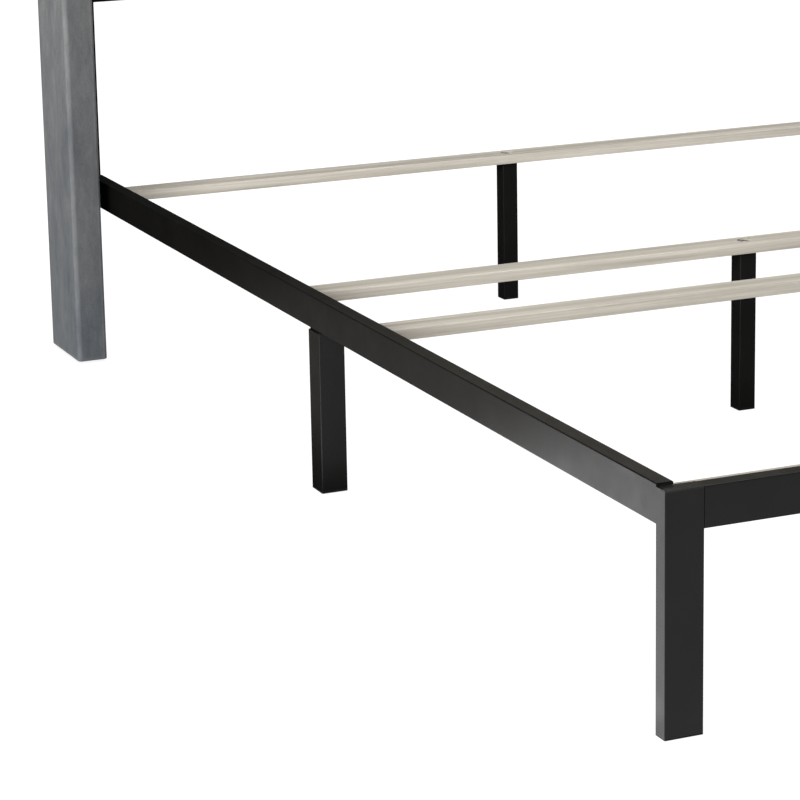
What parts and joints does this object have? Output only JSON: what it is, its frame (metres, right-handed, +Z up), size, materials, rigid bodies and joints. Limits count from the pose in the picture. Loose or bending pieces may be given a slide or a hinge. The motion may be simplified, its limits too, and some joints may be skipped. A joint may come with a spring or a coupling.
{
  "type": "bed frame",
  "caption": "Queen bed frame: black steel rails and square legs, pale wood cross slats on centre legs, bolted to a grey upholstered headboard whose side wings reach the floor.",
  "frame": {"origin": "on the floor, under the middle of the whole bed's box", "axes": "+Y from the foot end to the headboard, +Z up, +X to the right of someone who stands at the foot and faces the headboard"},
  "size_m": [1.73, 2.12, 1.18],
  "materials": {
    "steel_frame": "satin black powder coat",
    "black_plastic": "moulded, matt",
    "black_bolts": "black oxide",
    "zinc_steel": "zinc plated",
    "slat_wood": "planed softwood, unfinished, greyish",
    "inner_wood": "plain board, hidden",
    "black_wood": "wood painted matt black",
    "grey_velvet": "short-pile velvet over foam",
    "dust_cover": "non-woven dust cover"
  },
  "bodies": {
    "root": {"side_rail_left": "steel_frame", "side_rail_right": "steel_frame", "foot_rail": "steel_frame", "corner_leg_left": "steel_frame", "corner_leg_right": "steel_frame", "mid_leg_left": "steel_frame", "mid_leg_right": "steel_frame", "mid_leg_bracket_left": "steel_frame", "mid_leg_bracket_right": "steel_frame", "corner_gusset_left": "steel_frame", "corner_gusset_right": "steel_frame", "slat_brackets_left": "steel_frame", "slat_brackets_right": "steel_frame", "rail_end_plate_left": "steel_frame", "rail_end_plate_right": "steel_frame", "centre_leg_1": "steel_frame", "centre_leg_2": "steel_frame", "centre_leg_3": "steel_frame", "centre_leg_4": "steel_frame", "centre_leg_top_plates": "steel_frame", "corner_foot_caps": "black_plastic", "corner_top_caps": "black_plastic", "mid_foot_caps": "black_plastic", "centre_foot_caps": "black_plastic", "rail_end_plugs": "black_plastic", "mid_leg_collars": "black_plastic", "wing_glides": "black_plastic", "weld_nuts": "zinc_steel", "slat_screws": "zinc_steel", "centre_leg_bolts": "zinc_steel", "centre_leg_nuts": "zinc_steel", "tee_nuts": "zinc_steel", "wing_inserts": "zinc_steel", "frame_bolts": "black_bolts", "headboard_bolts": "black_bolts", "wing_bolts": "black_bolts", "headboard_strut_left": "black_wood", "headboard_strut_right": "black_wood", "slat_1": "slat_wood", "slat_2": "slat_wood", "slat_3": "slat_wood", "slat_4": "slat_wood", "headboard_top_rail": "inner_wood", "headboard_bottom_rail": "inner_wood", "headboard_board": "inner_wood", "wing_core_left": "inner_wood", "wing_core_right": "inner_wood", "headboard_pad": "grey_velvet", "wing_cover_left": "grey_velvet", "wing_cover_right": "grey_velvet", "headboard_dust_cover": "dust_cover"}
  },
  "joints": []
}
